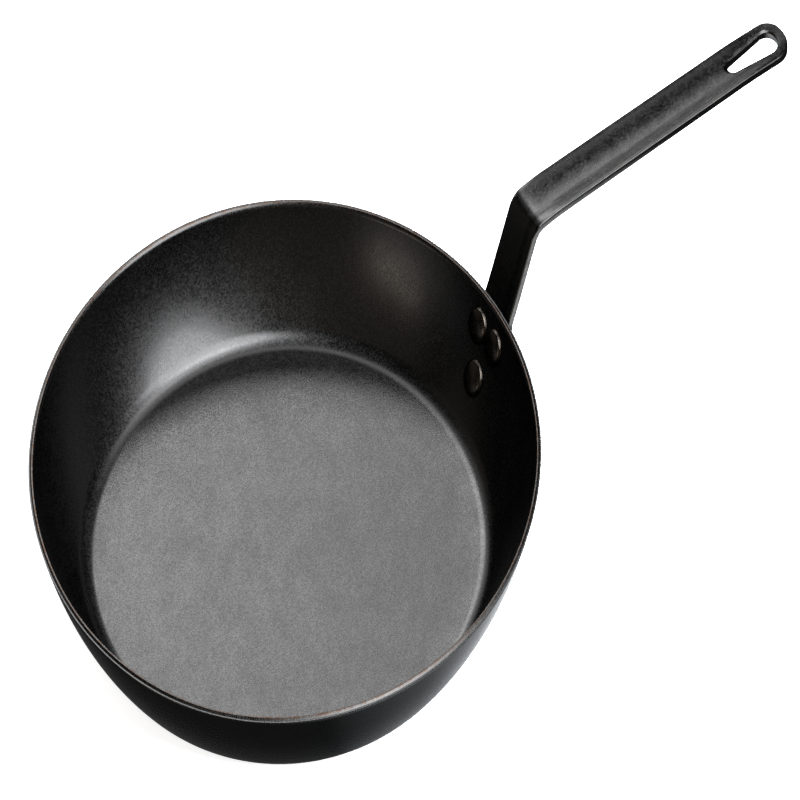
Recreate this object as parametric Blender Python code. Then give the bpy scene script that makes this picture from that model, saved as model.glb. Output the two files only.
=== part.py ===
"""Black carbon-steel skillet: a pressed pan, a bent flat-bar handle and three domed rivets.

Metres, +Z up. The origin is the centre of the flat base's underside, and the handle runs along +X.
"""

import math

import bmesh
import bpy
from mathutils import Matrix, Vector

# ---------------------------------------------------------------- driving dimensions
SHEET = 0.00266  # thickness of the pan's sheet steel, 12 gauge
RIM_RADIUS = 0.1572  # outside edge of the rim
PAN_HEIGHT = 0.0545  # base underside to rim
BASE_FLAT_RADIUS = 0.1179  # where the flat base ends and the bend begins
BASE_BEND_RADIUS = 0.0157  # outside radius of the bend at the foot of the wall
WALL_FOOT_SLOPE = math.radians(50.0)  # the wall's slope where it leaves the bend
RIM_ROUNDING = 0.0005  # deburred edges of the rim

BAR = 0.0040  # thickness of the handle's bar
PAD_FOOT_RADIUS = 0.0115  # round lower end, centred on the lower rivet
PAD_HALF_WIDTH = 0.0185  # round the two upper rivets
PAD_SHOULDER_TURN = 100  # degrees round the shoulder before the pad narrows to the riser
PAD_NECK_LENGTH = 0.012
RISER_HALF_WIDTH = 0.0131
GRIP_HALF_WIDTH = (0.0134, 0.01265)  # at the elbow and at the free end
PAD_TOP_SLOPE = math.radians(69.5)  # the pad leaves the wall here, just below the rim
RISER_SLOPE = math.radians(63.2)
PAD_TOP_BEND_RADIUS = 0.025
GRIP_SLOPE = math.radians(-0.45)  # the grip is level but for a slight fall towards its end
ELBOW_HEIGHT = 0.0936  # middle of the bar's thickness above the base, at the elbow's sharp corner
ELBOW_BEND_RADIUS = 0.0090  # at the middle of the bar's thickness
GRIP_LENGTH = 0.1970  # from the elbow's sharp corner to the tip
GRIP_END_LENGTH = 0.0122  # length over which the free end rounds off
GRIP_END_SQUARENESS = 2.2  # 2 is an ellipse, more is squarer
GRIP_DISH = 0.0014  # how far the grip's edges stand above its middle line, halfway along
DISH_GROWTH = 0.045  # length over which the dish grows from the elbow
DISH_FADE = 0.040  # length over which it fades to the free end

HOLE_NARROW_RADIUS = 0.0038
HOLE_WIDE_RADIUS = 0.0068
HOLE_NARROW_CENTRE = 0.1582  # along the grip, from the elbow's corner
HOLE_WIDE_CENTRE = 0.1840

LOWER_RIVET_SLOPE = math.radians(57.3)  # the wall's slope at the lower rivet gives its height
UPPER_RIVET_SLOPE = math.radians(65.4)
UPPER_RIVET_SPACING = 0.0170
SHANK_RADIUS = 0.0030
INNER_HEAD_RADIUS = 0.0081
INNER_HEAD_HEIGHT = 0.0027
OUTER_HEAD_RADIUS = 0.0070
OUTER_HEAD_HEIGHT = 0.0021
HEAD_EDGE = 0.0006  # straight edge below a head's dome

GAP = 0.0003  # between pieces that touch
HEAD_SEAT_GAP = 0.0005  # a flat head under the wall's hollow curve keeps GAP at its edge

PAN_STEPS = 96
RIVET_STEPS = 32
BEND_POINTS = 5
WALL_POINTS = 7
ACROSS = 8  # faces across the bar


# ---------------------------------------------------------------- the wall's curve
FOOT = Vector(
    (
        BASE_FLAT_RADIUS + BASE_BEND_RADIUS * math.sin(WALL_FOOT_SLOPE),
        BASE_BEND_RADIUS * (1 - math.cos(WALL_FOOT_SLOPE)),
    )
)
RIM = Vector((RIM_RADIUS, PAN_HEIGHT))
CHORD = RIM - FOOT
CHORD_SLOPE = math.atan2(CHORD.y, CHORD.x)
RIM_SLOPE = 2 * CHORD_SLOPE - WALL_FOOT_SLOPE
WALL_RADIUS = CHORD.length / (2 * math.sin(CHORD_SLOPE - WALL_FOOT_SLOPE))
WALL_CENTRE = FOOT + WALL_RADIUS * Vector((-math.sin(WALL_FOOT_SLOPE), math.cos(WALL_FOOT_SLOPE)))


def on_wall(slope, inward=0.0):
    """The point (r, z) where the wall has this slope, moved inward from its outer face."""
    reach = WALL_RADIUS - inward
    return WALL_CENTRE + reach * Vector((math.sin(slope), -math.cos(slope)))


def arc(centre, radius, start, stop, count):
    """Points of an arc whose tangent's slope goes from start to stop, measured from +r."""
    for i in range(count):
        slope = start + (stop - start) * i / (count - 1)
        yield centre + radius * Vector((math.sin(slope), -math.cos(slope)))


# ---------------------------------------------------------------- scene helpers
def clear_scene():
    for obj in list(bpy.data.objects):
        bpy.data.objects.remove(obj, do_unlink=True)


def steel(name, colour, roughness, metallic):
    material = bpy.data.materials.new(name)
    material.use_nodes = True
    shader = material.node_tree.nodes["Principled BSDF"]
    shader.inputs["Base Color"].default_value = (*colour, 1.0)
    shader.inputs["Roughness"].default_value = roughness
    shader.inputs["Metallic"].default_value = metallic
    return material


def add_object(name, mesh, material=None, parent=None):
    obj = bpy.data.objects.new(name, mesh)
    bpy.context.scene.collection.objects.link(obj)
    obj.parent = parent
    if material and not mesh.materials:
        mesh.materials.append(material)
    return obj


def mesh_from(bm, name):
    bmesh.ops.recalc_face_normals(bm, faces=bm.faces)
    mesh = bpy.data.meshes.new(name)
    bm.to_mesh(mesh)
    bm.free()
    return mesh


def cut(obj, cutter):
    boolean = obj.modifiers.new("cut " + cutter.name, "BOOLEAN")
    boolean.operation = "DIFFERENCE"
    boolean.solver = "EXACT"
    boolean.object = cutter


def make_cutter(name, mesh, parent):
    cutter = add_object(name, mesh, parent=parent)
    cutter.hide_render = True
    cutter.display_type = "WIRE"
    return cutter


# ---------------------------------------------------------------- pan
def pan_profile():
    """Half section, from the middle of the floor up the inside and down the outside."""
    bend_centre = Vector((BASE_FLAT_RADIUS, BASE_BEND_RADIUS))
    rim_inside_slope = math.acos((WALL_CENTRE.y - PAN_HEIGHT) / (WALL_RADIUS - SHEET))
    inside = list(arc(bend_centre, BASE_BEND_RADIUS - SHEET, 0, WALL_FOOT_SLOPE, BEND_POINTS))
    wall_inside = WALL_RADIUS - SHEET
    inside += list(arc(WALL_CENTRE, wall_inside, WALL_FOOT_SLOPE, rim_inside_slope, WALL_POINTS))[1:]
    outside = list(arc(WALL_CENTRE, WALL_RADIUS, RIM_SLOPE, WALL_FOOT_SLOPE, WALL_POINTS))
    outside += list(arc(bend_centre, BASE_BEND_RADIUS, WALL_FOOT_SLOPE, 0, BEND_POINTS))[1:]
    inner_edge = inside.pop()
    outer_edge = outside.pop(0)
    down = Vector((0, -RIM_ROUNDING))
    along = Vector((RIM_ROUNDING, 0))
    rim = [inner_edge + down, inner_edge + along, outer_edge - along, outer_edge + down]
    return [Vector((0, SHEET))] + inside + rim + outside + [Vector((0, 0))]


def make_pan(material, parent):
    points = pan_profile()
    mesh = bpy.data.meshes.new("pan_shell")
    edges = [(i, i + 1) for i in range(len(points) - 1)]
    mesh.from_pydata([(p.x, 0, p.y) for p in points], edges, [])
    pan = add_object("pan_shell", mesh, material, parent)
    screw = pan.modifiers.new("turn", "SCREW")
    screw.axis = "Z"
    screw.steps = PAN_STEPS
    screw.render_steps = PAN_STEPS
    screw.use_merge_vertices = True
    screw.merge_threshold = 0.00001
    screw.use_smooth_shade = True
    return pan


# ---------------------------------------------------------------- handle
class Strip:
    """The middle line of the bar in the plane y = 0, walked from the pad's lower end."""

    def __init__(self, start, slope):
        self.point = start
        self.slope = slope
        self.length = 0.0
        self.pieces = []

    def bend(self, radius, slope):
        """An arc to a new slope."""
        self.pieces.append((self.length, self.point, self.slope, radius, slope))
        side = 1 if slope > self.slope else -1
        centre = self.point + side * radius * Vector((-math.sin(self.slope), math.cos(self.slope)))
        self.length += radius * abs(slope - self.slope)
        self.point = centre + side * radius * Vector((math.sin(slope), -math.cos(slope)))
        self.slope = slope

    def run(self, distance):
        """A straight length."""
        self.pieces.append((self.length, self.point, self.slope, None, self.slope))
        self.length += distance
        self.point = self.point + distance * Vector((math.cos(self.slope), math.sin(self.slope)))

    def at(self, s):
        """The point (r, z) and slope at the distance s along the strip."""
        start, point, slope, radius, end_slope = [p for p in self.pieces if p[0] <= s + 1e-9][-1]
        step = s - start
        if radius is None:
            return point + step * Vector((math.cos(slope), math.sin(slope))), slope
        side = 1 if end_slope > slope else -1
        centre = point + side * radius * Vector((-math.sin(slope), math.cos(slope)))
        here = slope + side * step / radius
        return centre + side * radius * Vector((math.sin(here), -math.cos(here))), here


def handle_strip():
    """The bar's middle line, and the distances along it where its stretches begin."""
    offset = -(GAP + BAR / 2)  # outside the wall
    pad_radius = WALL_RADIUS - offset
    foot_slope = LOWER_RIVET_SLOPE - PAD_FOOT_RADIUS / pad_radius
    strip = Strip(on_wall(foot_slope, offset), foot_slope)
    strip.bend(pad_radius, PAD_TOP_SLOPE)
    strip.bend(PAD_TOP_BEND_RADIUS, RISER_SLOPE)
    marks = {"leaves_wall": strip.length}
    marks["upper_rivets"] = PAD_FOOT_RADIUS + pad_radius * (UPPER_RIVET_SLOPE - LOWER_RIVET_SLOPE)
    setback = ELBOW_BEND_RADIUS * math.tan((RISER_SLOPE - GRIP_SLOPE) / 2)
    riser_length = (ELBOW_HEIGHT - strip.point.y) / math.sin(RISER_SLOPE) - setback
    strip.run(riser_length)
    marks["elbow"] = strip.length
    strip.bend(ELBOW_BEND_RADIUS, GRIP_SLOPE)
    marks["grip"] = strip.length
    marks["corner_x"] = strip.point.x - setback
    strip.run(GRIP_LENGTH - setback)
    marks["tip"] = strip.length
    return strip, marks


def blend(value, start, stop):
    """0 below start, 1 above stop, smooth in between."""
    t = min(max((value - start) / (stop - start), 0.0), 1.0)
    return t * t * (3 - 2 * t)


def along_arc(centre, radius, start, stop, count):
    """Outline points on a circle centred on the middle line; 0 degrees points back down the pad."""
    for i in range(count):
        angle = math.radians(start + (stop - start) * i / (count - 1))
        yield centre - radius * math.cos(angle), radius * math.sin(angle)


def between(start, stop, count):
    """Straight stretch of outline, without its first point."""
    for i in range(1, count + 1):
        t = i / count
        yield start[0] + (stop[0] - start[0]) * t, start[1] + (stop[1] - start[1]) * t


def bar_outline(marks):
    """(distance along, half width) from the pad's lower end to the grip's tip."""
    shoulder = marks["upper_rivets"]
    rivet_rise = shoulder - PAD_FOOT_RADIUS
    lean = math.degrees(math.asin((PAD_HALF_WIDTH - PAD_FOOT_RADIUS) / rivet_rise))
    outline = list(along_arc(PAD_FOOT_RADIUS, PAD_FOOT_RADIUS, 9, 90 - lean, 9))
    upper = list(along_arc(shoulder, PAD_HALF_WIDTH, 90 - lean, PAD_SHOULDER_TURN, 6))
    outline += between(outline[-1], upper[0], 5)
    outline += upper[1:]

    neck, width = outline[-1]
    neck_end = neck + PAD_NECK_LENGTH
    for i in range(1, 7):
        along = neck + PAD_NECK_LENGTH * i / 6
        outline.append((along, width + (RISER_HALF_WIDTH - width) * blend(along, neck, neck_end)))
    outline += between((neck_end, RISER_HALF_WIDTH), (marks["elbow"], RISER_HALF_WIDTH), 3)

    elbow_width, end_width = GRIP_HALF_WIDTH
    round_start = marks["tip"] - GRIP_END_LENGTH
    outline += between(outline[-1], (marks["grip"], elbow_width), 6)
    outline += between(outline[-1], (round_start, end_width), 14)
    power = 2 / GRIP_END_SQUARENESS
    for i in range(1, 10):
        angle = math.radians(87) * i / 9
        along = round_start + GRIP_END_LENGTH * math.sin(angle) ** power
        outline.append((along, end_width * math.cos(angle) ** power))
    return outline


def cross_curvature(s, slope, radius, marks):
    """How strongly the bar curls up towards its edges: round the wall, flat, then dished."""
    hugging = 1 - blend(s, marks["leaves_wall"] - 0.006, marks["leaves_wall"] + 0.012)
    grows = blend(s, marks["elbow"], marks["grip"] + DISH_GROWTH)
    fades = 1 - blend(s, marks["tip"] - DISH_FADE, marks["tip"])
    dish = 2 * GRIP_DISH / GRIP_HALF_WIDTH[0] ** 2
    return hugging * math.sin(slope) / radius + dish * grows * fades


def make_handle(material, parent):
    strip, marks = handle_strip()
    bm = bmesh.new()
    rings = []
    for s, half_width in bar_outline(marks):
        point, slope = strip.at(s)
        normal = Vector((-math.sin(slope), 0, math.cos(slope)))  # towards the pan, then up
        curvature = cross_curvature(s, slope, point.x, marks)
        ring = []
        for face in (1, -1):
            for i in range(ACROSS + 1):
                y = half_width * (2 * i / ACROSS - 1) * face
                lift = curvature * y * y / 2 + face * BAR / 2
                middle = Vector((point.x, y, point.y))
                ring.append(bm.verts.new(middle + normal * lift))
        rings.append(ring)
    for a, b in zip(rings, rings[1:]):
        for i in range(len(a)):
            j = (i + 1) % len(a)
            bm.faces.new((a[i], a[j], b[j], b[i]))
    for ring in (rings[0], rings[-1]):
        for i in range(ACROSS):
            bm.faces.new((ring[i], ring[i + 1], ring[-2 - i], ring[-1 - i]))
    mesh = mesh_from(bm, "handle")
    mesh.shade_smooth()
    mesh.set_sharp_from_angle(angle=math.radians(35))
    handle = add_object("handle", mesh, material, parent)
    hole = make_cutter("hang_hole_cutter", teardrop_prism(), parent)
    hole.location = (marks["corner_x"], 0, ELBOW_HEIGHT)
    cut(handle, hole)
    return handle


def teardrop_prism():
    """Two circles of different size joined by straight sides, pushed through the bar."""
    distance = HOLE_WIDE_CENTRE - HOLE_NARROW_CENTRE
    lean = math.asin((HOLE_WIDE_RADIUS - HOLE_NARROW_RADIUS) / distance)
    wide_turn = math.pi / 2 + lean
    narrow_turn = math.pi / 2 - lean
    ends = (
        (HOLE_WIDE_CENTRE, HOLE_WIDE_RADIUS, 0, wide_turn, 16),
        (HOLE_NARROW_CENTRE, HOLE_NARROW_RADIUS, math.pi, narrow_turn, 8),
    )
    points = []
    for centre, radius, middle, turn, steps in ends:
        for i in range(steps + 1):
            angle = middle + turn * (2 * i / steps - 1)
            points.append((centre + radius * math.cos(angle), radius * math.sin(angle)))
    bm = bmesh.new()
    base = bm.faces.new([bm.verts.new((x, y, -2 * BAR)) for x, y in points])
    extruded = bmesh.ops.extrude_face_region(bm, geom=[base])["geom"]
    top = [part for part in extruded if isinstance(part, bmesh.types.BMVert)]
    bmesh.ops.translate(bm, vec=(0, 0, 4 * BAR), verts=top)
    return mesh_from(bm, "hang_hole")


# ---------------------------------------------------------------- rivets
def rivet_place(slope, side):
    """Where a rivet crosses the wall's outer face, with its axis pointing into the pan."""
    radius, height = on_wall(slope)
    turn = math.asin(side / radius)
    inward = Vector((-math.sin(slope), 0, math.cos(slope)))
    across = Vector((0, 1, 0))
    frame = Matrix((across.cross(inward), across, inward)).transposed().to_4x4()
    return Matrix.Rotation(turn, 4, "Z") @ Matrix.Translation((radius, 0, height)) @ frame


def head_profile(radius, height, base, direction):
    """Section of a domed head, from its underside's edge to the middle of its dome."""
    rise = height - HEAD_EDGE
    sphere = (radius * radius + rise * rise) / (2 * rise)
    reach = math.asin(radius / sphere)
    section = [(radius, base)]
    for i in range(6):
        angle = reach * (1 - i / 5)
        lift = HEAD_EDGE + sphere * math.cos(angle) - (sphere - rise)
        section.append((sphere * math.sin(angle), base + direction * lift))
    return section


def rivet_mesh():
    """Inner head, shank and outer head, turned in one piece about Z."""
    inner_seat = SHEET + HEAD_SEAT_GAP
    outer_seat = -(GAP + BAR + GAP)
    inner = head_profile(INNER_HEAD_RADIUS, INNER_HEAD_HEIGHT, inner_seat, 1)
    outer = head_profile(OUTER_HEAD_RADIUS, OUTER_HEAD_HEIGHT, outer_seat, -1)
    shank = [(SHANK_RADIUS, inner_seat), (SHANK_RADIUS, outer_seat)]
    section = inner[::-1] + shank + outer
    bm = bmesh.new()
    verts = [bm.verts.new((x, 0, z)) for x, z in section]
    edges = [bm.edges.new(pair) for pair in zip(verts, verts[1:])]
    bmesh.ops.spin(
        bm,
        geom=verts + edges,
        cent=(0, 0, 0),
        axis=(0, 0, 1),
        angle=2 * math.pi,
        steps=RIVET_STEPS,
        use_merge=True,
    )
    bmesh.ops.remove_doubles(bm, verts=bm.verts, dist=0.000001)
    mesh = mesh_from(bm, "rivet")
    mesh.shade_smooth()
    mesh.set_sharp_from_angle(angle=math.radians(40))
    return mesh


def hole_mesh():
    bm = bmesh.new()
    bmesh.ops.create_cone(
        bm,
        cap_ends=True,
        segments=RIVET_STEPS,
        radius1=SHANK_RADIUS + GAP,
        radius2=SHANK_RADIUS + GAP,
        depth=0.030,
    )
    return mesh_from(bm, "rivet_hole")


def make_rivets(pan, handle, material, parent):
    places = {
        "rivet_upper_left": rivet_place(UPPER_RIVET_SLOPE, UPPER_RIVET_SPACING / 2),
        "rivet_upper_right": rivet_place(UPPER_RIVET_SLOPE, -UPPER_RIVET_SPACING / 2),
        "rivet_lower": rivet_place(LOWER_RIVET_SLOPE, 0.0),
    }
    rivet = rivet_mesh()
    hole = hole_mesh()
    for name, place in places.items():
        add_object(name, rivet, material, parent).matrix_local = place
        cutter = make_cutter(name + "_hole_cutter", hole, parent)
        cutter.matrix_local = place
        cut(pan, cutter)
        cut(handle, cutter)


def main():
    clear_scene()
    skillet = bpy.data.objects.new("skillet", None)
    bpy.context.scene.collection.objects.link(skillet)
    pan_steel = steel("seasoned pan steel", (0.030, 0.029, 0.028), 0.50, 0.6)
    handle_steel = steel("seasoned handle steel", (0.026, 0.025, 0.025), 0.45, 0.6)
    rivet_steel = steel("seasoned rivet steel", (0.034, 0.031, 0.028), 0.38, 0.7)
    pan = make_pan(pan_steel, skillet)
    handle = make_handle(handle_steel, skillet)
    make_rivets(pan, handle, rivet_steel, skillet)


main()
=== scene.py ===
"""Looks for the black carbon-steel skillet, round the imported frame.

Its five pieces get finer meshes and seasoned steel, and the studio is lit for the photograph's view.
"""

import math

import bmesh
import bpy
import numpy as np
from mathutils import Matrix, Vector


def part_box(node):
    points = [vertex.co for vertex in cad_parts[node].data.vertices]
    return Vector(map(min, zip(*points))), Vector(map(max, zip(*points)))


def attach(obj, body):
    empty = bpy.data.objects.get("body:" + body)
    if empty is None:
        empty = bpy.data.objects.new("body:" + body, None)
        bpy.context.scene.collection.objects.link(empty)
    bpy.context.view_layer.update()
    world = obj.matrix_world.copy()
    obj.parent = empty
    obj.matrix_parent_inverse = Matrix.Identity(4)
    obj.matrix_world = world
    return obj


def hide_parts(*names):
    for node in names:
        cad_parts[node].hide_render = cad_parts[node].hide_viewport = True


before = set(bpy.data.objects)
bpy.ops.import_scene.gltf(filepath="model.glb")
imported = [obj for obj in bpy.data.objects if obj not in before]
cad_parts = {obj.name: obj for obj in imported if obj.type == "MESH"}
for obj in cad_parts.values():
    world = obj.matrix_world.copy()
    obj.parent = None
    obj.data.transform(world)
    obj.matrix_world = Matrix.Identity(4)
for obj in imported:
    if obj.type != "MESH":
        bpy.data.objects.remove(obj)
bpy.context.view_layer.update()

# ---------------------------------------------------------------- sizes
# In metres, as in the CAD model except where a comment says otherwise.
_, PAN_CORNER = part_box("pan_shell")
RIM_RADIUS = PAN_CORNER[0]
PAN_HEIGHT = PAN_CORNER[2]
SHEET = 0.00266  # thickness of the pan's sheet steel, 12 gauge
BASE_FLAT_RADIUS = 0.1179  # where the flat base ends and the bend begins
BASE_BEND_RADIUS = 0.0157  # outside radius of the bend at the foot of the wall
WALL_FOOT_SLOPE = math.radians(50.0)  # the wall's slope where it leaves the bend
RIM_ROUNDING = 0.0009  # of the rim's edges, 0.0005 in the CAD model

BAR = 0.0040  # thickness of the handle's bar
BAR_ROUNDING = 0.0008  # of the bar's edges, which are sharp in the CAD model
PAD_FOOT_RADIUS = 0.0115  # round lower end, centred on the lower rivet
PAD_HALF_WIDTH = 0.0185  # round the two upper rivets
PAD_SHOULDER_TURN = 100  # degrees round the shoulder before the pad narrows to the riser
PAD_NECK_LENGTH = 0.012
PAD_TOP_SLOPE = math.radians(69.5)  # the pad leaves the wall here, just below the rim
PAD_TOP_BEND_RADIUS = 0.025
PAD_FLATTENS = (-0.006, 0.012)  # from before to past the place where it leaves the round wall
RISER_HALF_WIDTH = 0.0131
RISER_SLOPE = math.radians(63.2)
ELBOW_HEIGHT = 0.0936  # middle of the bar's thickness above the base, at the elbow's sharp corner
ELBOW_BEND_RADIUS = 0.0090  # at the middle of the bar's thickness
GRIP_HALF_WIDTH = (0.0134, 0.01265)  # at the elbow and at the free end
GRIP_SLOPE = math.radians(-0.45)  # the grip is level but for a slight fall towards its end
GRIP_LENGTH = 0.1970  # from the elbow's sharp corner to the tip
GRIP_END_LENGTH = 0.0122  # length over which the free end rounds off
GRIP_END_SQUARENESS = 2.2  # 2 is an ellipse, more is squarer
GRIP_DISH = 0.0014  # how far the grip's edges stand above its middle line, halfway along
DISH_GROWTH = 0.014  # length over which the dish grows from the elbow, 0.045 in the CAD model
DISH_FADE = 0.040  # length over which it fades to the free end

HOLE_NARROW_RADIUS = 0.0038
HOLE_WIDE_RADIUS = 0.0068
HOLE_NARROW_CENTRE = 0.1582  # along the grip, from the elbow's corner
HOLE_WIDE_CENTRE = 0.1840
HOLE_LIP = 0.0009  # rounding of the hole's edges, which are sharp in the CAD model
PUNCH_REACH = 3 * BAR  # the punch's ends stand this far above and below the bar's middle
PUNCH_FLARE = 3 * HOLE_LIP  # and are this much wider than the hole

LOWER_RIVET_SLOPE = math.radians(57.3)  # the wall's slope at the lower rivet gives its height
UPPER_RIVET_SLOPE = math.radians(65.4)
UPPER_RIVET_SPACING = 0.0170
SHANK_RADIUS = 0.0030
INNER_HEAD_RADIUS = 0.0081
INNER_HEAD_HEIGHT = 0.0027
OUTER_HEAD_RADIUS = 0.0070
OUTER_HEAD_HEIGHT = 0.0021
GAP = 0.0003  # between the pan and the handle
HEAD_SINK = 0.0001  # how far a head's rim is pressed below the face it is seated on
HEAD_EDGE = 0.0005  # radius of the edge round a head, which is straight in the CAD model
HEAD_EDGE_TURN = math.radians(90) * 0.85  # how far round that edge the dome begins
DOME_POWER = 0.9  # 1 is half an ellipse, less is fuller

# Fineness of the meshes.
PAN_STEPS = 240
FLOOR_RINGS = 10
BEND_POINTS = 14
WALL_POINTS = 22
RIM_EDGE_POINTS = 5
RIVET_STEPS = 64
HEAD_EDGE_STEPS = 4
DOME_STEPS = 12
NECK_STEPS = 12
GRIP_END_STEPS = 32
LIP_STEPS = 6
FACES_ACROSS = 14  # of the bar, between its rounded edges
EDGE_SHARES = (0, 0.08, 0.25, 0.55, 1.0)  # where points lie across a rounded edge
WIDEST_EDGE = 0.9  # of the half width, where the bar ends and its edges meet

# ---------------------------------------------------------------- the photograph's view
VIEW_ELEVATION = math.radians(42.74)
HANDLE_TURN = math.radians(32.7)  # from the camera's right towards the back
VIEW_ROLL = math.radians(1.84)
VIEW_DISTANCE = 67.4 * RIM_RADIUS
RIM_IN_VIEW = 0.3213  # rim radius as a share of the picture's width
RIM_CENTRE_IN_VIEW = (-0.4478, -0.2092)  # right and up from the picture's middle, in rim radii
SQUEEZE = 0.669  # the photograph is this much narrower than it should be for its height
SENSOR_WIDTH = 36.0
CLIP_END = 200.0  # beyond the floor's far edge

CAMERA_RIGHT = Vector((math.cos(HANDLE_TURN), -math.sin(HANDLE_TURN), 0))
CAMERA_AWAY = Vector((math.sin(HANDLE_TURN), math.cos(HANDLE_TURN), 0))
UP = Vector((0, 0, 1))

# ---------------------------------------------------------------- the seasoned steel
GRAZING_FILM = (0.5, 0.5, 0.5, 1)  # the oil film is duller than bare steel at grazing angles
PAN_FINISH = {
    "dark": (0.037, 0.037, 0.0372),
    "light": (0.046, 0.046, 0.046),
    "roughness": (0.23, 0.28),
    "grain": 0.0007,
    "sparkle": 0.18,
}
HANDLE_FINISH = {
    "dark": (0.024, 0.024, 0.0242),
    "light": (0.043, 0.043, 0.043),
    "roughness": (0.15, 0.21),
    "grain": 0.0009,
    "sparkle": 0.45,
}
RIVET_FINISH = {
    "dark": (0.032, 0.029, 0.026),
    "light": (0.060, 0.053, 0.045),
    "roughness": (0.18, 0.24),
    "grain": 0.0010,
    "sparkle": 0.3,
}
WORN_RIM = (0.034, 0.022, 0.016)  # the film is thin and brownish there
WORN_EDGE = (0.060, 0.057, 0.053)  # the bar's edges show some bare steel
# painted shade: the dark colour of streaks that stand in for a dark reflection along the grip's near
# side
PAINTED_DARK_REFLECTION = (0.014, 0.014, 0.014)
RIM_WEAR_DEPTHS = (0.0007, 0.0002)  # below the rim's top, where the wear begins and where it is full
DARK_REFLECTION_FADES_IN = (-0.0098, -0.0078)  # places across the grip between which the painted dark reflection fades in
DARK_REFLECTION_FADES_OUT = (-0.0064, -0.0040)  # and out again
CRYSTAL_SHARE = 0.3  # of the speckle in the colour, the rest of which is finer
CLOUD_SIZE = 0.022  # patches of glossier and duller film
WAVE_SIZE = 0.012  # waves left by the press
WAVE_HEIGHT = 0.0004
GRAIN_HEIGHT = 0.00005

# ---------------------------------------------------------------- the studio
FLOOR_SIZE = 60.0
FLOOR_LEVEL = -0.0002  # just clear of the pan's base
FLOOR_WHITE = (0.92, 0.92, 0.92, 1)
FLOOR_GLOW = 0.85  # keeps the shadows on the floor faint
TABLE_SIZE = 6.0
TABLE_LEVEL = -0.004
TABLE_TINT = (0.92, 0.96, 1.0)
# Radiance of the table at distances from the pan's middle towards the camera's right.
TABLE_GLOW = ((0.03, 0.15), (0.10, 1.2), (0.20, 5.0), (0.24, 5.0), (0.33, 0.15))
TABLE_DIM = (0.15, 0.15, 0.15, 1)
UNLIT_ROOM = (0.030, 0.028, 0.026, 1)
WHITE = (1, 1, 1, 1)
DAYLIGHT = (0.97, 0.98, 1.0)

# ---------------------------------------------------------------- the wall's curve
FOOT = Vector(
    (
        BASE_FLAT_RADIUS + BASE_BEND_RADIUS * math.sin(WALL_FOOT_SLOPE),
        BASE_BEND_RADIUS * (1 - math.cos(WALL_FOOT_SLOPE)),
    )
)
CHORD = Vector((RIM_RADIUS, PAN_HEIGHT)) - FOOT
CHORD_SLOPE = math.atan2(CHORD.y, CHORD.x)
RIM_SLOPE = 2 * CHORD_SLOPE - WALL_FOOT_SLOPE
WALL_RADIUS = CHORD.length / (2 * math.sin(CHORD_SLOPE - WALL_FOOT_SLOPE))
WALL_CENTRE = FOOT + WALL_RADIUS * Vector((-math.sin(WALL_FOOT_SLOPE), math.cos(WALL_FOOT_SLOPE)))


def on_wall(slope, inward=0.0):
    """The point (r, z) where the wall has this slope, moved inward from its outer face."""
    reach = WALL_RADIUS - inward
    return WALL_CENTRE + reach * Vector((math.sin(slope), -math.cos(slope)))


def arc(centre, radius, start, stop, count):
    """Points of an arc whose tangent's slope goes from start to stop, measured from +r."""
    for i in range(count):
        slope = start + (stop - start) * i / (count - 1)
        yield centre + radius * Vector((math.sin(slope), -math.cos(slope)))


# ---------------------------------------------------------------- mesh helpers
def mesh_from(bm, name):
    bmesh.ops.recalc_face_normals(bm, faces=bm.faces)
    mesh = bpy.data.meshes.new(name)
    bm.to_mesh(mesh)
    bm.free()
    mesh.shade_smooth()
    return mesh


def add_piece(name, mesh, material, node):
    """A visible piece that stands for a CAD node."""
    piece = bpy.data.objects.new(name, mesh)
    bpy.context.scene.collection.objects.link(piece)
    mesh.materials.append(material)
    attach(piece, "root")
    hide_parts(node)
    return piece


def turned(section, steps):
    """A bmesh of the section (r, z) turned about Z, closed at the axis."""
    bm = bmesh.new()
    verts = [bm.verts.new((r, 0, z)) for r, z in section]
    edges = [bm.edges.new(pair) for pair in zip(verts, verts[1:])]
    bmesh.ops.spin(
        bm,
        geom=verts + edges,
        cent=(0, 0, 0),
        axis=(0, 0, 1),
        angle=2 * math.pi,
        steps=steps,
        use_merge=True,
    )
    bmesh.ops.remove_doubles(bm, verts=bm.verts, dist=0.000001)
    return bm


def skin(bm, rings):
    """Faces from each ring of vertices to the next."""
    for a, b in zip(rings, rings[1:]):
        for i in range(len(a)):
            j = (i + 1) % len(a)
            bm.faces.new((a[i], a[j], b[j], b[i]))


# ---------------------------------------------------------------- pan
def pan_section():
    """Half section, from the middle of the floor up the inside, round the rim and down the outside."""
    bend_centre = Vector((BASE_FLAT_RADIUS, BASE_BEND_RADIUS))
    top_slope = RIM_SLOPE - RIM_ROUNDING / WALL_RADIUS
    inside = list(arc(bend_centre, BASE_BEND_RADIUS - SHEET, 0, WALL_FOOT_SLOPE, BEND_POINTS))
    inside += list(arc(WALL_CENTRE, WALL_RADIUS - SHEET, WALL_FOOT_SLOPE, top_slope, WALL_POINTS))[1:]
    outside = list(arc(WALL_CENTRE, WALL_RADIUS, top_slope, WALL_FOOT_SLOPE, WALL_POINTS))
    outside += list(arc(bend_centre, BASE_BEND_RADIUS, WALL_FOOT_SLOPE, 0, BEND_POINTS))[1:]
    rings = [BASE_FLAT_RADIUS * i / FLOOR_RINGS for i in range(FLOOR_RINGS)]
    floor = [Vector((r, SHEET)) for r in rings]
    base = [Vector((r, 0)) for r in reversed(rings)]
    return floor + inside + rim_points(inside[-1], outside[0]) + outside + base


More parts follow.
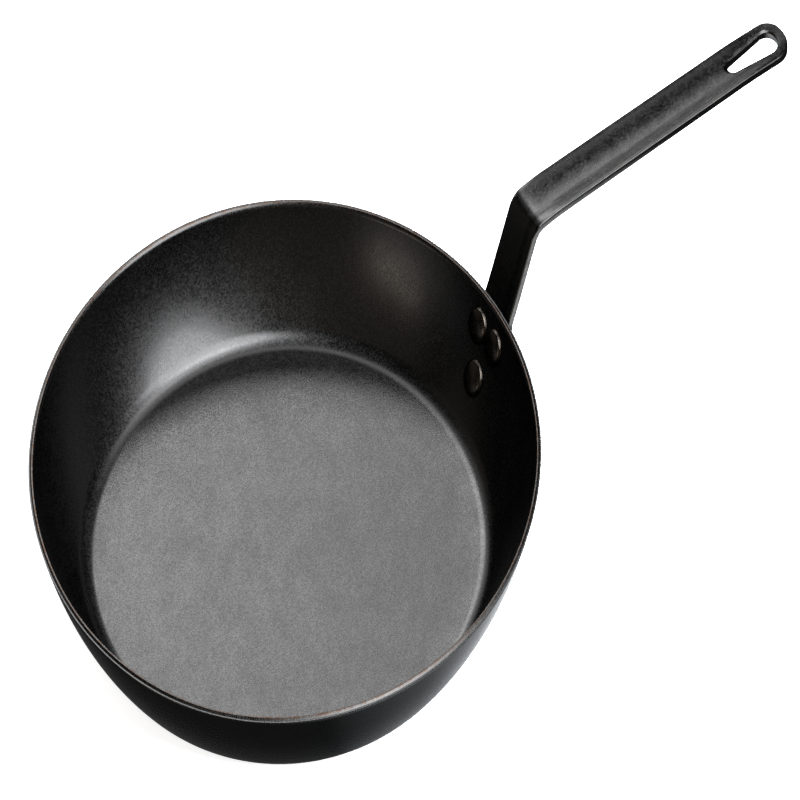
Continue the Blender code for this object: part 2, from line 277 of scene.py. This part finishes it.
def rim_points(inner, outer):
    """The rim's level top with a rounded edge on either side."""
    rise = PAN_HEIGHT - inner.y
    inner_middle = Vector((inner.x + RIM_ROUNDING, inner.y))
    outer_middle = Vector((outer.x - RIM_ROUNDING, outer.y))
    angles = [math.radians(90) * i / RIM_EDGE_POINTS for i in range(1, RIM_EDGE_POINTS + 1)]
    points = []
    for angle in angles:
        points.append(inner_middle + Vector((-RIM_ROUNDING * math.cos(angle), rise * math.sin(angle))))
    for angle in reversed(angles):
        points.append(outer_middle + Vector((RIM_ROUNDING * math.cos(angle), rise * math.sin(angle))))
    return points


def make_pan(material):
    mesh = mesh_from(turned(pan_section(), PAN_STEPS), "pan")
    add_piece("pan", mesh, material, "pan_shell")


# ---------------------------------------------------------------- handle
class Strip:
    """The middle line of the bar in the plane y = 0, walked from the pad's lower end."""

    def __init__(self, start, slope):
        self.point = start
        self.slope = slope
        self.length = 0.0
        self.pieces = []

    def bend(self, radius, slope):
        """An arc to a new slope."""
        self.pieces.append((self.length, self.point, self.slope, radius, slope))
        side = 1 if slope > self.slope else -1
        centre = self.point + side * radius * Vector((-math.sin(self.slope), math.cos(self.slope)))
        self.length += radius * abs(slope - self.slope)
        self.point = centre + side * radius * Vector((math.sin(slope), -math.cos(slope)))
        self.slope = slope

    def run(self, distance):
        """A straight length."""
        self.pieces.append((self.length, self.point, self.slope, None, self.slope))
        self.length += distance
        self.point = self.point + distance * Vector((math.cos(self.slope), math.sin(self.slope)))

    def at(self, s):
        """The point (r, z) and slope at the distance s along the strip."""
        start, point, slope, radius, end_slope = [p for p in self.pieces if p[0] <= s + 1e-9][-1]
        step = s - start
        if radius is None:
            return point + step * Vector((math.cos(slope), math.sin(slope))), slope
        side = 1 if end_slope > slope else -1
        centre = point + side * radius * Vector((-math.sin(slope), math.cos(slope)))
        here = slope + side * step / radius
        return centre + side * radius * Vector((math.sin(here), -math.cos(here))), here


def handle_strip():
    """The bar's middle line, and the distances along it where its stretches begin."""
    offset = -(GAP + BAR / 2)  # outside the wall
    pad_radius = WALL_RADIUS - offset
    foot_slope = LOWER_RIVET_SLOPE - PAD_FOOT_RADIUS / pad_radius
    strip = Strip(on_wall(foot_slope, offset), foot_slope)
    strip.bend(pad_radius, PAD_TOP_SLOPE)
    strip.bend(PAD_TOP_BEND_RADIUS, RISER_SLOPE)
    marks = {"leaves_wall": strip.length}
    marks["upper_rivets"] = PAD_FOOT_RADIUS + pad_radius * (UPPER_RIVET_SLOPE - LOWER_RIVET_SLOPE)
    setback = ELBOW_BEND_RADIUS * math.tan((RISER_SLOPE - GRIP_SLOPE) / 2)
    riser_length = (ELBOW_HEIGHT - strip.point.y) / math.sin(RISER_SLOPE) - setback
    strip.run(riser_length)
    marks["elbow"] = strip.length
    strip.bend(ELBOW_BEND_RADIUS, GRIP_SLOPE)
    marks["grip"] = strip.length
    marks["corner"] = strip.length - setback
    strip.run(GRIP_LENGTH - setback)
    marks["tip"] = strip.length
    return strip, marks


def blend(value, start, stop):
    """0 below start, 1 above stop, smooth in between."""
    t = min(max((value - start) / (stop - start), 0.0), 1.0)
    return t * t * (3 - 2 * t)


def along_arc(centre, radius, start, stop, count):
    """Outline points on a circle centred on the middle line; 0 degrees points back down the pad."""
    for i in range(count):
        angle = math.radians(start + (stop - start) * i / (count - 1))
        yield centre - radius * math.cos(angle), radius * math.sin(angle)


def between(start, stop, count):
    """Straight stretch of outline, without its first point."""
    for i in range(1, count + 1):
        t = i / count
        yield start[0] + (stop[0] - start[0]) * t, start[1] + (stop[1] - start[1]) * t


def bar_outline(marks):
    """(distance along, half width) from the pad's lower end to the grip's tip.

    It starts and stops a few degrees short of the middle line, where the bar would have no width.
    """
    shoulder = marks["upper_rivets"]
    rivet_rise = shoulder - PAD_FOOT_RADIUS
    lean = math.degrees(math.asin((PAD_HALF_WIDTH - PAD_FOOT_RADIUS) / rivet_rise))
    outline = list(along_arc(PAD_FOOT_RADIUS, PAD_FOOT_RADIUS, 3, 90 - lean, count=24))
    upper = list(along_arc(shoulder, PAD_HALF_WIDTH, 90 - lean, PAD_SHOULDER_TURN, count=8))
    outline += between(outline[-1], upper[0], count=10)
    outline += upper[1:]

    neck, width = outline[-1]
    neck_end = neck + PAD_NECK_LENGTH
    for i in range(1, NECK_STEPS + 1):
        along = neck + PAD_NECK_LENGTH * i / NECK_STEPS
        outline.append((along, width + (RISER_HALF_WIDTH - width) * blend(along, neck, neck_end)))
    outline += between((neck_end, RISER_HALF_WIDTH), (marks["elbow"], RISER_HALF_WIDTH), count=8)

    elbow_width, end_width = GRIP_HALF_WIDTH
    round_start = marks["tip"] - GRIP_END_LENGTH
    outline += between(outline[-1], (marks["grip"], elbow_width), count=16)
    outline += between(outline[-1], (round_start, end_width), count=60)
    power = 2 / GRIP_END_SQUARENESS
    for i in range(1, GRIP_END_STEPS + 1):
        angle = math.radians(89) * i / GRIP_END_STEPS
        along = round_start + GRIP_END_LENGTH * math.sin(angle) ** power
        outline.append((along, end_width * math.cos(angle) ** power))
    return outline


def cross_curvature(s, slope, radius, marks):
    """How strongly the bar curls up towards its edges: round the wall, flat, then dished."""
    hug_end, flat_start = (marks["leaves_wall"] + distance for distance in PAD_FLATTENS)
    hugging = 1 - blend(s, hug_end, flat_start)
    grows = blend(s, marks["elbow"], marks["grip"] + DISH_GROWTH)
    fades = 1 - blend(s, marks["tip"] - DISH_FADE, marks["tip"])
    dish = 2 * GRIP_DISH / GRIP_HALF_WIDTH[0] ** 2
    return hugging * math.sin(slope) / radius + dish * grows * fades


def distance_to(points, outline):
    """Shortest distance from each point to the outline's line, both sides of the bar alike."""
    points = np.abs(np.array(points))
    starts = np.array(outline[:-1])
    spans = np.array(outline[1:]) - starts
    offsets = points[:, None, :] - starts[None, :, :]
    share = np.clip((offsets * spans).sum(2) / (spans * spans).sum(1), 0, 1)
    return np.linalg.norm(offsets - share[:, :, None] * spans, axis=2).min(1)


def section_offsets(outline):
    """For each outline point, the lateral places of the section's points, edge to edge."""
    rows = []
    for i, (_, half_width) in enumerate(outline):
        before = outline[max(i - 1, 0)]
        after = outline[min(i + 1, len(outline) - 1)]
        run = max(after[0] - before[0], 1e-9)
        steepness = math.hypot(1, (after[1] - before[1]) / run)
        edge = min(BAR_ROUNDING * steepness, WIDEST_EDGE * half_width)
        rounding = [half_width - edge * share for share in EDGE_SHARES]
        flat = [(half_width - edge) * (1 - 2 * j / FACES_ACROSS) for j in range(1, FACES_ACROSS)]
        rows.append(rounding + flat + [-y for y in reversed(rounding)])
    return rows


def bar_ring(bm, strip, marks, outline, s, offsets):
    """Vertices round the bar's section at the distance s: over its top and back along its underside."""
    wear = bm.verts.layers.float["edge_wear"]
    point, slope = strip.at(s)
    normal = Vector((-math.sin(slope), 0, math.cos(slope)))
    curl = cross_curvature(s, slope, point.x, marks) / 2
    top = []
    bottom = []
    for y, depth in zip(offsets, distance_to([(s, y) for y in offsets], outline)):
        middle = Vector((point.x, y, point.y)) + normal * curl * y * y
        inset = max(BAR_ROUNDING - depth, 0)
        half = BAR / 2 - BAR_ROUNDING + math.sqrt(BAR_ROUNDING**2 - inset**2)
        for side, row in ((1, top), (-1, bottom)):
            vert = bm.verts.new(middle + normal * half * side)
            vert[wear] = math.exp(-((depth / BAR_ROUNDING) ** 2))
            row.append(vert)
    return top + bottom[::-1]


def make_handle(material):
    strip, marks = handle_strip()
    outline = bar_outline(marks)
    bm = bmesh.new()
    bm.verts.layers.float.new("edge_wear")
    rings = []
    for (s, _), offsets in zip(outline, section_offsets(outline)):
        rings.append(bar_ring(bm, strip, marks, outline, s, offsets))
    skin(bm, rings)
    for ring in (rings[0], rings[-1]):
        for i in range(len(ring) // 2 - 1):
            bm.faces.new((ring[i], ring[i + 1], ring[-2 - i], ring[-1 - i]))
    handle = add_piece("bar_handle", mesh_from(bm, "bar_handle"), material, "handle")
    elbow_end, _ = strip.at(marks["grip"])
    corner_x = elbow_end.x - (marks["grip"] - marks["corner"]) * math.cos(GRIP_SLOPE)
    punch(handle, hole_cutter(corner_x))


def teardrop(spread):
    """Outline of the hang hole, spread outwards by a distance."""
    distance = HOLE_WIDE_CENTRE - HOLE_NARROW_CENTRE
    lean = math.asin((HOLE_WIDE_RADIUS - HOLE_NARROW_RADIUS) / distance)
    wide_turn = math.pi / 2 + lean
    narrow_turn = math.pi / 2 - lean
    ends = (
        (HOLE_WIDE_CENTRE, HOLE_WIDE_RADIUS + spread, 0, wide_turn, 40),
        (HOLE_NARROW_CENTRE, HOLE_NARROW_RADIUS + spread, math.pi, narrow_turn, 24),
    )
    for centre, radius, middle, turn, count in ends:
        for i in range(count + 1):
            angle = middle + turn * (2 * i / count - 1)
            yield centre + radius * math.cos(angle), radius * math.sin(angle)


def hole_cutter(corner_x):
    """A punch whose ends flare, so that the hole's lips come out rounded."""
    lip = []
    for i in range(LIP_STEPS + 1):
        angle = math.radians(90) * (i / LIP_STEPS)
        level = BAR / 2 - HOLE_LIP + HOLE_LIP * math.sin(angle)
        lip.append((level, HOLE_LIP * (1 - math.cos(angle))))
    upper = lip + [(PUNCH_REACH, PUNCH_FLARE)]
    lower = [(-level, spread) for level, spread in reversed(upper)]
    bm = bmesh.new()
    rings = []
    for level, spread in lower + upper:
        ring = []
        for x, y in teardrop(spread):
            middle = ELBOW_HEIGHT + x * math.tan(GRIP_SLOPE)
            ring.append(bm.verts.new((corner_x + x, y, middle + level)))
        rings.append(ring)
    skin(bm, rings)
    bm.faces.new(rings[0])
    bm.faces.new(rings[-1])
    return bpy.data.objects.new("punch", mesh_from(bm, "punch"))


def punch(piece, cutter):
    """Cuts the cutter out of the piece and keeps the result as the piece's mesh."""
    bpy.context.scene.collection.objects.link(cutter)
    boolean = piece.modifiers.new("punch", "BOOLEAN")
    boolean.operation = "DIFFERENCE"
    boolean.solver = "EXACT"
    boolean.object = cutter
    depsgraph = bpy.context.evaluated_depsgraph_get()
    piece_mesh = bpy.data.meshes.new_from_object(piece.evaluated_get(depsgraph))
    piece.modifiers.clear()
    piece.data = piece_mesh
    piece_mesh.shade_smooth()
    bpy.data.objects.remove(cutter, do_unlink=True)


# ---------------------------------------------------------------- rivets
def rivet_place(slope, side):
    """Where a rivet crosses the wall's outer face, with its axis pointing into the pan."""
    radius, height = on_wall(slope)
    turn = math.asin(side / radius)
    inward = Vector((-math.sin(slope), 0, math.cos(slope)))
    across = Vector((0, 1, 0))
    axes = Matrix((across.cross(inward), across, inward)).transposed().to_4x4()
    return Matrix.Rotation(turn, 4, "Z") @ Matrix.Translation((radius, 0, height)) @ axes


def head_section(radius, height, seat, direction):
    """Section of a hammered head: seated rim, small edge radius, low dome."""
    edge_middle = radius - HEAD_EDGE
    section = [(edge_middle, seat)]
    for i in range(HEAD_EDGE_STEPS + 1):
        angle = HEAD_EDGE_TURN * i / HEAD_EDGE_STEPS
        level = seat + direction * (HEAD_EDGE + HEAD_EDGE * math.sin(angle))
        section.append((edge_middle + HEAD_EDGE * math.cos(angle), level))
    start_radius, start_level = section[-1]
    rise = height - abs(start_level - seat)
    for i in range(1, DOME_STEPS + 1):
        angle = math.radians(90) * i / DOME_STEPS
        level = start_level + direction * rise * math.sin(angle) ** DOME_POWER
        section.append((start_radius * math.cos(angle), level))
    return section


def rivet_mesh(name):
    """Inner head, shank and outer head, turned in one piece about Z.

    The CAD model's heads stand a little off the steel. These sit on it, and are GAP higher instead.
    """
    inner_seat = SHEET - HEAD_SINK
    outer_seat = -(GAP + BAR) + HEAD_SINK
    inner = head_section(INNER_HEAD_RADIUS, INNER_HEAD_HEIGHT + GAP, inner_seat, 1)
    outer = head_section(OUTER_HEAD_RADIUS, OUTER_HEAD_HEIGHT + GAP, outer_seat, -1)
    shank = [(SHANK_RADIUS, inner_seat), (SHANK_RADIUS, outer_seat)]
    section = inner[::-1] + shank + outer
    for end in (0, -1):
        section[end] = (0, section[end][1])  # exactly on the axis
    return mesh_from(turned(section, RIVET_STEPS), name)


def curve_like_wall(mesh):
    """Bends a rivet's heads as the wall is curved, so that no gap shows under their rims."""
    for vert in mesh.vertices:
        spread = vert.co.x**2 + vert.co.y**2
        vert.co.z += spread / (2 * WALL_RADIUS)


def make_rivets(material):
    places = {
        "rivet_upper_left": rivet_place(UPPER_RIVET_SLOPE, UPPER_RIVET_SPACING / 2),
        "rivet_upper_right": rivet_place(UPPER_RIVET_SLOPE, -UPPER_RIVET_SPACING / 2),
        "rivet_lower": rivet_place(LOWER_RIVET_SLOPE, 0.0),
    }
    for node, place in places.items():
        mesh = rivet_mesh("seated_" + node)
        curve_like_wall(mesh)
        mesh.transform(place)
        add_piece("seated_" + node, mesh, material, node)


# ---------------------------------------------------------------- materials
class Nodes:
    """A material's node tree, with one short call for each kind of node it needs."""

    def __init__(self, name):
        self.material = bpy.data.materials.new(name)
        self.material.use_nodes = True
        self.tree = self.material.node_tree
        self.shader = self.tree.nodes["Principled BSDF"]
        coordinates = self.tree.nodes.new("ShaderNodeTexCoord")
        self.position = coordinates.outputs["Object"]

    def link(self, source, target):
        self.tree.links.new(source, target)

    def noise(self, size, detail=2.0, roughness=0.5, stretch=1.0):
        """Noise whose features are about size metres across, and stretch times that along X."""
        drawn_out = self.tree.nodes.new("ShaderNodeVectorMath")
        drawn_out.operation = "MULTIPLY"
        drawn_out.inputs[1].default_value = (1 / stretch, 1, 1)
        self.link(self.position, drawn_out.inputs[0])
        node = self.tree.nodes.new("ShaderNodeTexNoise")
        node.inputs["Scale"].default_value = 1 / size
        node.inputs["Detail"].default_value = detail
        node.inputs["Roughness"].default_value = roughness
        self.link(drawn_out.outputs["Vector"], node.inputs["Vector"])
        return node.outputs["Fac"]

    def cells(self, size):
        """A random grey for each small crystal of the surface."""
        node = self.tree.nodes.new("ShaderNodeTexVoronoi")
        node.inputs["Scale"].default_value = 1 / size
        self.link(self.position, node.inputs["Vector"])
        separate = self.tree.nodes.new("ShaderNodeSeparateColor")
        self.link(node.outputs["Color"], separate.inputs["Color"])
        return separate.outputs["Red"]

    def remap(self, value, old, new, smooth=False):
        """The value with the old pair of ends taken to the new pair."""
        node = self.tree.nodes.new("ShaderNodeMapRange")
        node.interpolation_type = "SMOOTHSTEP" if smooth else "LINEAR"
        for name, number in zip(("From Min", "From Max", "To Min", "To Max"), (*old, *new)):
            node.inputs[name].default_value = number
        self.link(value, node.inputs["Value"])
        return node.outputs["Result"]

    def math(self, operation, a, b):
        """A sum or product of two values, each a number or another node's output."""
        node = self.tree.nodes.new("ShaderNodeMath")
        node.operation = operation
        for socket, value in zip(node.inputs, (a, b)):
            if isinstance(value, float):
                socket.default_value = value
            else:
                self.link(value, socket)
        return node.outputs[0]

    def mix(self, factor, a, b):
        """A colour between a and b, each a colour or another node's output."""
        node = self.tree.nodes.new("ShaderNodeMix")
        node.data_type = "RGBA"
        self.link(factor, node.inputs[0])
        for socket, value in ((node.inputs[6], a), (node.inputs[7], b)):
            if isinstance(value, tuple):
                socket.default_value = (*value, 1.0)
            else:
                self.link(value, socket)
        return node.outputs[2]

    def coordinate(self, axis):
        separate = self.tree.nodes.new("ShaderNodeSeparateXYZ")
        self.link(self.position, separate.inputs["Vector"])
        return separate.outputs[axis]

    def bump(self, height, distance, strength, before=None):
        """A bumpy normal, on top of another one where before is given."""
        node = self.tree.nodes.new("ShaderNodeBump")
        node.inputs["Distance"].default_value = distance
        node.inputs["Strength"].default_value = strength
        self.link(height, node.inputs["Height"])
        if before:
            self.link(before, node.inputs["Normal"])
        return node.outputs["Normal"]


def seasoned_steel(name, dark, light, roughness, grain, sparkle):
    """Steel under baked oil: a dark metallic film over a fine grain that sparkles where it tilts.

    The roughness drifts between two values, the grain is the width of a crystal, and the sparkle is
    the strength of its bumps. The colour is left for the caller to link, with the piece's wear on it.
    """
    nodes = Nodes(name)
    crystals = nodes.cells(grain)
    fine = nodes.noise(grain * 1.3, detail=3.0, roughness=0.7)
    coarse_part = nodes.math("MULTIPLY", crystals, CRYSTAL_SHARE)
    fine_part = nodes.math("MULTIPLY", fine, 1 - CRYSTAL_SHARE)
    speckle = nodes.remap(nodes.math("ADD", coarse_part, fine_part), (0.2, 0.8), (0.0, 1.0))
    colour = nodes.mix(speckle, dark, light)

    clouds = nodes.noise(CLOUD_SIZE, detail=4.0, roughness=0.6)
    film = nodes.remap(clouds, (0.3, 0.7), roughness)
    coarse_grains = nodes.remap(crystals, (0.2, 1.0), (-0.02, 0.09))
    nodes.link(nodes.math("ADD", film, coarse_grains), nodes.shader.inputs["Roughness"])

    grains = nodes.noise(grain * 0.5, detail=1.0, roughness=0.8)
    waves = nodes.noise(WAVE_SIZE, detail=3.0)
    grainy = nodes.bump(grains, GRAIN_HEIGHT, strength=sparkle)
    wavy = nodes.bump(waves, WAVE_HEIGHT, strength=0.2, before=grainy)
    nodes.link(wavy, nodes.shader.inputs["Normal"])
    nodes.shader.inputs["Metallic"].default_value = 1.0
    nodes.shader.inputs["Specular Tint"].default_value = GRAZING_FILM
    return nodes, colour


def pan_material():
    """The rim is worn in patches."""
    nodes, colour = seasoned_steel("seasoned_pan", **PAN_FINISH)
    patches = nodes.noise(size=0.004, detail=4.0, roughness=0.7)
    heights = [PAN_HEIGHT - depth for depth in RIM_WEAR_DEPTHS]
    rim = nodes.remap(nodes.coordinate("Z"), heights, (0.0, 1.0), smooth=True)
    worn = nodes.math("MULTIPLY", rim, nodes.remap(patches, (0.4, 0.62), (0.15, 0.9)))
    nodes.link(nodes.mix(worn, colour, WORN_RIM), nodes.shader.inputs["Base Color"])
    return nodes.material


def painted_dark_streaks(nodes):
    """Painted shade: dark streaks in a band along the bar's near side, standing in for a dark
    reflection on the grip's top.
    """
    across = nodes.coordinate("Y")
    begins = nodes.remap(across, DARK_REFLECTION_FADES_IN, (0.0, 1.0), smooth=True)
    lasts = nodes.remap(across, DARK_REFLECTION_FADES_OUT, (1.0, 0.0), smooth=True)
    band = nodes.math("MULTIPLY", begins, lasts)
    streaks = nodes.noise(size=0.0012, detail=4.0, roughness=0.65, stretch=9.0)
    return nodes.math("MULTIPLY", band, nodes.remap(streaks, (0.35, 0.60), (0.25, 0.9)))


def handle_material():
    """The grip's top has streaks of painted shade for a dark reflection, and the bar's edges are worn
    in patches.
    """
    nodes, colour = seasoned_steel("seasoned_handle", **HANDLE_FINISH)
    # painted shade: dark streaks mixed into the bar's colour where a dark reflection falls on the grip
    colour = nodes.mix(painted_dark_streaks(nodes), colour, PAINTED_DARK_REFLECTION)
    edges = nodes.tree.nodes.new("ShaderNodeAttribute")
    edges.attribute_name = "edge_wear"
    patches = nodes.noise(size=0.005, detail=4.0, roughness=0.6)
    worn = nodes.math("MULTIPLY", edges.outputs["Fac"], nodes.remap(patches, (0.4, 0.65), (0.1, 0.8)))
    nodes.link(nodes.mix(worn, colour, WORN_EDGE), nodes.shader.inputs["Base Color"])
    return nodes.material


def rivet_material():
    nodes, colour = seasoned_steel("seasoned_rivet", **RIVET_FINISH)
    nodes.link(colour, nodes.shader.inputs["Base Color"])
    return nodes.material


# ---------------------------------------------------------------- studio
def towards(azimuth, elevation):
    """Unit vector seen from the pan: azimuth from the camera's right towards the back, in degrees."""
    a = math.radians(azimuth)
    e = math.radians(elevation)
    level = CAMERA_RIGHT * math.cos(a) + CAMERA_AWAY * math.sin(a)
    return level * math.cos(e) + UP * math.sin(e)


def softbox(name, place, size, radiance, colour=(1, 1, 1), distance=2.0, roll=0, shape="RECTANGLE"):
    """A rectangular or elliptical light that looks as bright as radiance from the pan.

    Its place is an azimuth and an elevation and its size a width and a height, all in degrees.
    """
    width, height = (2 * distance * math.tan(math.radians(angle / 2)) for angle in size)
    data = bpy.data.lights.new(name, "AREA")
    data.shape = shape
    data.size = width
    data.size_y = height
    area = width * height * (math.pi / 4 if shape == "ELLIPSE" else 1)
    data.energy = radiance * math.pi * area
    data.color = colour
    light = bpy.data.objects.new(name, data)
    bpy.context.scene.collection.objects.link(light)
    direction = towards(*place)
    light.location = direction * distance
    turn = Matrix.Rotation(math.radians(roll), 3, "Z")
    light.rotation_euler = (direction.to_track_quat("Z", "Y").to_matrix() @ turn).to_euler()
    light.visible_camera = False
    return light


def make_lights():
    """The panels that the steel mirrors, and a ceiling that lights only the floor."""
    softbox("back_panel", (102, 40.5), (20, 16), 12.0, distance=8.0)
    softbox("backdrop", (101, 14), (40, 37), 1.9, distance=8.0)
    softbox("high_back_panel", (74, 62), (50, 18), 2.8, distance=4.0)
    softbox("back_left_panel", (126, 42), (22, 26), 0.7, distance=4.0)
    softbox("left_panel", (158, 22), (44, 44), 0.18, colour=(1.0, 0.9, 0.8))
    softbox("key_panel", (-35, 52), (44, 60), 13.0, colour=DAYLIGHT, roll=20, shape="ELLIPSE")
    softbox("top_panel", (8, 71), (34, 28), 8.0, colour=DAYLIGHT, shape="ELLIPSE")
    softbox("front_panel", (-112, 22), (90, 44), 0.2, colour=(1.0, 0.85, 0.7))
    softbox("front_left_panel", (-141, 7), (24, 14), 2.6, colour=(1.0, 0.87, 0.76))
    ceiling = softbox("ceiling", (90, 90), (80, 80), 1.2, distance=3.0)
    ceiling.visible_glossy = False


def flat_plane(name, size, level, material):
    bm = bmesh.new()
    bmesh.ops.create_grid(bm, x_segments=1, y_segments=1, size=size / 2)
    plane = bpy.data.objects.new(name, mesh_from(bm, name))
    bpy.context.scene.collection.objects.link(plane)
    plane.location.z = level
    plane.data.materials.append(material)
    return plane


def make_floor():
    """A white floor, which the steel doesn't reflect."""
    white = bpy.data.materials.new("white_floor")
    white.use_nodes = True
    shader = white.node_tree.nodes["Principled BSDF"]
    shader.inputs["Base Color"].default_value = FLOOR_WHITE
    shader.inputs["Roughness"].default_value = 0.9
    shader.inputs["Emission Color"].default_value = WHITE
    shader.inputs["Emission Strength"].default_value = FLOOR_GLOW
    floor = flat_plane("floor", FLOOR_SIZE, FLOOR_LEVEL, white)
    floor.visible_glossy = False


def make_reflected_table():
    """What the steel reflects in the floor's place: a dim table with a bright stripe on the right."""
    table = bpy.data.materials.new("table_in_reflection")
    table.use_nodes = True
    tree = table.node_tree
    tree.nodes.clear()
    coordinates = tree.nodes.new("ShaderNodeTexCoord")
    to_the_right = tree.nodes.new("ShaderNodeVectorMath")
    to_the_right.operation = "DOT_PRODUCT"
    to_the_right.inputs[1].default_value = CAMERA_RIGHT
    tree.links.new(coordinates.outputs["Object"], to_the_right.inputs[0])
    ramp = tree.nodes.new("ShaderNodeValToRGB")
    tree.links.new(to_the_right.outputs["Value"], ramp.inputs["Fac"])
    stops = ramp.color_ramp.elements
    for distance, radiance in TABLE_GLOW:
        stops.new(distance).color = (*(share * radiance for share in TABLE_TINT), 1)
    for end in (stops[0], stops[-1]):
        end.color = TABLE_DIM
    glow = tree.nodes.new("ShaderNodeEmission")
    tree.links.new(ramp.outputs["Color"], glow.inputs["Color"])
    output = tree.nodes.new("ShaderNodeOutputMaterial")
    tree.links.new(glow.outputs["Emission"], output.inputs["Surface"])
    reflected = flat_plane("table_in_reflection", TABLE_SIZE, TABLE_LEVEL, table)
    reflected.visible_camera = False
    reflected.visible_diffuse = False
    reflected.visible_shadow = False


def make_world():
    """White where the camera sees it, and dark where the steel reflects it, like an unlit room."""
    world = bpy.data.worlds.new("studio")
    bpy.context.scene.world = world
    world.use_nodes = True
    tree = world.node_tree
    tree.nodes.clear()
    seen = tree.nodes.new("ShaderNodeBackground")
    seen.inputs["Color"].default_value = WHITE
    reflected = tree.nodes.new("ShaderNodeBackground")
    reflected.inputs["Color"].default_value = UNLIT_ROOM
    path = tree.nodes.new("ShaderNodeLightPath")
    mix = tree.nodes.new("ShaderNodeMixShader")
    tree.links.new(path.outputs["Is Camera Ray"], mix.inputs["Fac"])
    tree.links.new(reflected.outputs["Background"], mix.inputs[1])
    tree.links.new(seen.outputs["Background"], mix.inputs[2])
    output = tree.nodes.new("ShaderNodeOutputWorld")
    tree.links.new(mix.outputs["Shader"], output.inputs["Surface"])


def make_camera():
    """The photograph's view. The picture is squeezed sideways, which a slanted up axis reproduces."""
    right = CAMERA_RIGHT
    back = UP * math.sin(VIEW_ELEVATION) - CAMERA_AWAY * math.cos(VIEW_ELEVATION)
    up = back.cross(right)
    rolled_right = right * math.cos(VIEW_ROLL) - up * math.sin(VIEW_ROLL)
    rolled_up = right * math.sin(VIEW_ROLL) + up * math.cos(VIEW_ROLL)
    slanted_up = rolled_up * SQUEEZE + back * math.sqrt(1 - SQUEEZE**2)

    data = bpy.data.cameras.new("photograph_view")
    data.sensor_width = SENSOR_WIDTH
    data.lens = SENSOR_WIDTH * RIM_IN_VIEW * VIEW_DISTANCE / RIM_RADIUS
    data.clip_end = CLIP_END
    camera = bpy.data.objects.new("photograph_view", data)
    holder = bpy.data.objects.new("camera_holder", None)
    for obj in (camera, holder):
        bpy.context.scene.collection.objects.link(obj)
    sideways, upwards = RIM_CENTRE_IN_VIEW
    aim = UP * PAN_HEIGHT - (rolled_right * sideways + slanted_up * upwards) * RIM_RADIUS
    place = Matrix.Identity(4)
    for column, vector in enumerate((rolled_right, slanted_up, back, aim + back * VIEW_DISTANCE)):
        for row in range(3):
            place[row][column] = vector[row]
    camera.parent = holder
    camera.matrix_parent_inverse = place
    bpy.context.scene.camera = camera


def main():
    make_camera()
    make_world()
    make_lights()
    make_floor()
    make_reflected_table()
    make_pan(pan_material())
    make_handle(handle_material())
    make_rivets(rivet_material())
    bpy.context.scene.view_settings.view_transform = "Standard"
    bpy.context.view_layer.update()


main()
